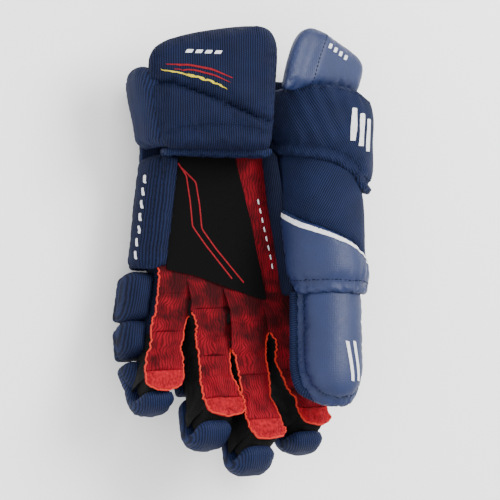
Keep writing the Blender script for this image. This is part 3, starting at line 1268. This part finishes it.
def walls(finger, k, start, end):
    """The knit side walls over part k of a finger, and at the tip its end wall."""
    cloth, last = Piece(f"{finger.name}_{PARTS[k]}_walls"), k == 2
    stop, size = finger.joint[3] - 8 if last else end, 0.0
    for side in (-1, 1):

        def side_wall(u, v, w):
            """u along the finger and v down from the palm, bowed out in the middle."""
            deep = np.clip(v / WALL_DEEP, 0, 1)
            out = 2.4 * np.sin(deep * math.pi) + 0.6 * lumps(u, v, 7, 50 + side)
            past = smooth((u - finger.joint[2]) / (0.8 * finger.long[2]))
            out = out - side * (finger.drift - 1) * past * deep
            across = wall_side(finger, u, side) + side * (out + w)
            return finger.at(u, across, 14.2 - v - 2.2 * smooth((u - 6) / 30) * 0.6)

        navy = finger.name == "pinky" and side < 0 and not last
        near = max(start, min(finger.slits[(side + 1) // 2] - 8, stop - 8))
        outline = rounded([(near, 0), (stop, 0), (stop, WALL_DEEP), (near, WALL_DEEP)], 1)
        thin(cloth, outline, side_wall, 1.2, NAVY_KNIT if navy else MESH, 3.0)
        size += area_of(outline)
    if last:
        left, right = (edge[0] for edge in finger.side(np.array([finger.joint[3]])))
        left, right = left + 0.6, right - 0.6

        def end_wall(u, v, w):
            """The knitted end of the finger, from under the red strip down behind the last roll."""
            t = np.clip(v / END_DEEP, 0, 1)
            round_ = np.minimum(t * 2.2, 1) * math.pi / 2
            middle, half = (left + right) / 2, (right - left) / 2
            corner = np.clip(np.abs(u - middle) / half, 0, 1) ** 3
            along = finger.joint[3] - 9 + (11 + w) * np.sin(round_) * (1 - 0.85 * corner) - 3 * corner
            high = 3.5 + (9.5 + w) * np.cos(round_) - np.maximum(t - 0.45, 0) / 0.55 * 15
            narrow = 1.04 - 0.3 * t**1.5
            return finger.at(along, u * narrow - finger.drift * t, high + 0.5 * lumps(u, v, 6, 60))

        outline = rounded([(left, 0, 3), (right, 0, 3), (right, END_DEEP, 6), (left, END_DEEP, 6)], 4)
        thin(cloth, outline, end_wall, 1.3, MESH, 2.2)
        size += area_of(outline)
    cloth = cloth.build("black_knit", None, [f"{finger.name}_" + ("tip_sleeve" if last else f"{PARTS[k]}_gussets")])
    joined(cloth, finger, k)
    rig.sheet(cloth, held="stretched", rests_on=[f"{finger.name}_{PARTS[k]}_pad"],
             flat=(float(size / (stop - start)) * 0.001, float(stop - start) * 0.001))


def beside(place):
    """A place turned over, for a pad that hangs down the little finger's outer side."""
    return lambda u, v, w: place(-u, v, 3 - w)


def back_of(finger):
    """The two rolls and the cap on a finger's back, and the little finger's side guards."""
    pinky = finger.name == "pinky"
    rights = (12.8, 14.4, 15.4, 15.6)
    lefts = (33, 32, 27, 13) if pinky else rights
    for k in (0, 1):
        long, part, place = finger.long[k], f"{finger.name}_{PARTS[k]}", finger.segment(k)
        outline = rounded([(-lefts[k], 0.2), (rights[k], 0.2), (rights[k + 1], long - 0.2),
                           (-lefts[k + 1], long - 0.2)], 6)
        pad(f"{part}_pad", outline, place, 16, part, "navy_knit", [f"{part}_roll"], NAVY, soft=8.5, crown=0.6,
            lumpy=0.4, seed=70 + 5 * finger.number + k, belly=0.3)
        if pinky:
            outline = rounded([(lefts[k] + 2, -2.0, 9), (lefts[k + 1] + 2, long + 2.0, 9), (9.5, long + 0.5, 5),
                               (9.5, -0.5, 5)], 6)
            pad(f"{part}_side_guard", outline, beside(place), 23, part, "navy_knit", [], NAVY, soft=8, crown=2.5,
                lumpy=0.5, seed=90 + k, belly=0.3)
    long, part, drift = finger.long[2], f"{finger.name}_tip", finger.drift
    outline = rounded([(-lefts[2], 0.2, 6), (rights[2], 0.2, 6), (rights[3] - 0.3 * drift, long - 6, 10),
                       (rights[3] - 2 - drift, long + 20, 10), (-lefts[3] + 1.5 - drift, long + 20, 10),
                       (-lefts[3] - (3 if pinky else 0) - drift, long - 8, 12)], 8)
    pad(f"{part}_pad", outline, finger.cap(long - 6, 6), 16, part, "navy_knit", [f"{part}_cap"], NAVY_BRIGHT,
        soft=9, crown=2.2, lumpy=0.5, seed=110 + finger.number, belly=0.3,
        extra=lambda u, v: -5.0 * smooth((v - (long - 9)) / 12))
    if pinky:
        outline = rounded([(28, 2.5, 8), (24, 14, 8), (15, 25, 6), (11, 25, 4), (11, 2.5, 4)], 5)
        pad(f"{part}_side_guard", outline, beside(finger.segment(2)), 17, part, "navy_knit", [], NAVY, soft=8,
            crown=0.8, lumpy=0.4, seed=95, belly=0.3)


for finger in FINGERS:
    first, second = (finger.joint[k + 1] - finger.long[k] / 2 for k in (0, 1))
    spans = [(-9.0, first), (first - OVERLAP, second), (second - OVERLAP, finger.joint[3] + finger.past)]
    for k, span in enumerate(spans):
        strip(finger, k, *span)
        walls(finger, k, *span)
    back_of(finger)

for node, part in frame["nodes"].items():
    if "plate" in node:
        part.data.materials.clear()
        part.data.materials.append(PLATE)

# --------------------------------------------------------------------------- scene


def light(name, at, to, size, power, colour=(1, 1, 1)):
    lamp = bpy.data.lights.new(name, "AREA")
    lamp.size, lamp.energy, lamp.color = size, power, colour
    made = placed(name, lamp)
    made.location = at
    made.rotation_euler = (to - at).to_track_quat("-Z", "Y").to_euler()


FLOOR_REACH, FLOOR_LEVEL = 4, -0.0005  # metres; half a millimetre clear of the rest face
floor_mesh = bpy.data.meshes.new("floor")
corners = [(-FLOOR_REACH, -FLOOR_REACH), (FLOOR_REACH, -FLOOR_REACH),
           (FLOOR_REACH, FLOOR_REACH), (-FLOOR_REACH, FLOOR_REACH)]
floor_mesh.from_pydata([(x, y, FLOOR_LEVEL) for x, y in corners], [], [(0, 1, 2, 3)])
floor = placed("floor", floor_mesh)
paper = bpy.data.materials.new("pale_floor")
paper.use_nodes = True
shade = paper.node_tree.nodes["Principled BSDF"]
grain = paper.node_tree.nodes.new("ShaderNodeTexNoise")
grain.inputs["Scale"].default_value = 3
ramp = paper.node_tree.nodes.new("ShaderNodeMapRange")
ramp.inputs["To Min"].default_value, ramp.inputs["To Max"].default_value = 0.96, 0.985
paper.node_tree.links.new(grain.outputs["Fac"], ramp.inputs["Value"])
paper.node_tree.links.new(ramp.outputs["Result"], shade.inputs["Base Color"])
shade.inputs["Roughness"].default_value = 0.9
floor_mesh.materials.append(paper)
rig.stage(floor)

world = bpy.data.worlds.new("studio")
world.use_nodes = True
background = world.node_tree.nodes["Background"]
background.inputs["Color"].default_value = (1, 1, 1, 1)
background.inputs["Strength"].default_value = 1.7
bpy.context.scene.world = world
centre = row((-13.3, 1.2, 50))
light("key", centre + Vector((0.75, 0.55, 1.1)), centre, 0.7, 32)
light("fill", centre + Vector((-0.9, -0.2, 0.9)), centre, 1.1, 6, (0.95, 0.97, 1))

camera_data = bpy.data.cameras.new("camera")
camera_data.lens, camera_data.sensor_width = 143.5, 36
camera_data.clip_end = 20
camera = placed("camera", camera_data)
CAMERA_ROLL, CAMERA_REACH = math.radians(22), 1.6  # how far round from the palm's normal, and how far away
cos, sin = math.cos(CAMERA_ROLL), math.sin(CAMERA_ROLL)
axes = Matrix(((cos, 0, -sin), (0, 1, 0), (sin, 0, cos)))
camera.matrix_world = Matrix.Translation(centre + axes @ Vector((0, 0, CAMERA_REACH))) @ axes.to_4x4()
bpy.context.scene.camera = camera

looks_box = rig.bounds()
with open("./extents.json", "w") as file:
    plain = lambda box: [[float(x) for x in corner] for corner in box]
    json.dump({"cad": plain(cad_box), "looks": plain(looks_box)}, file)
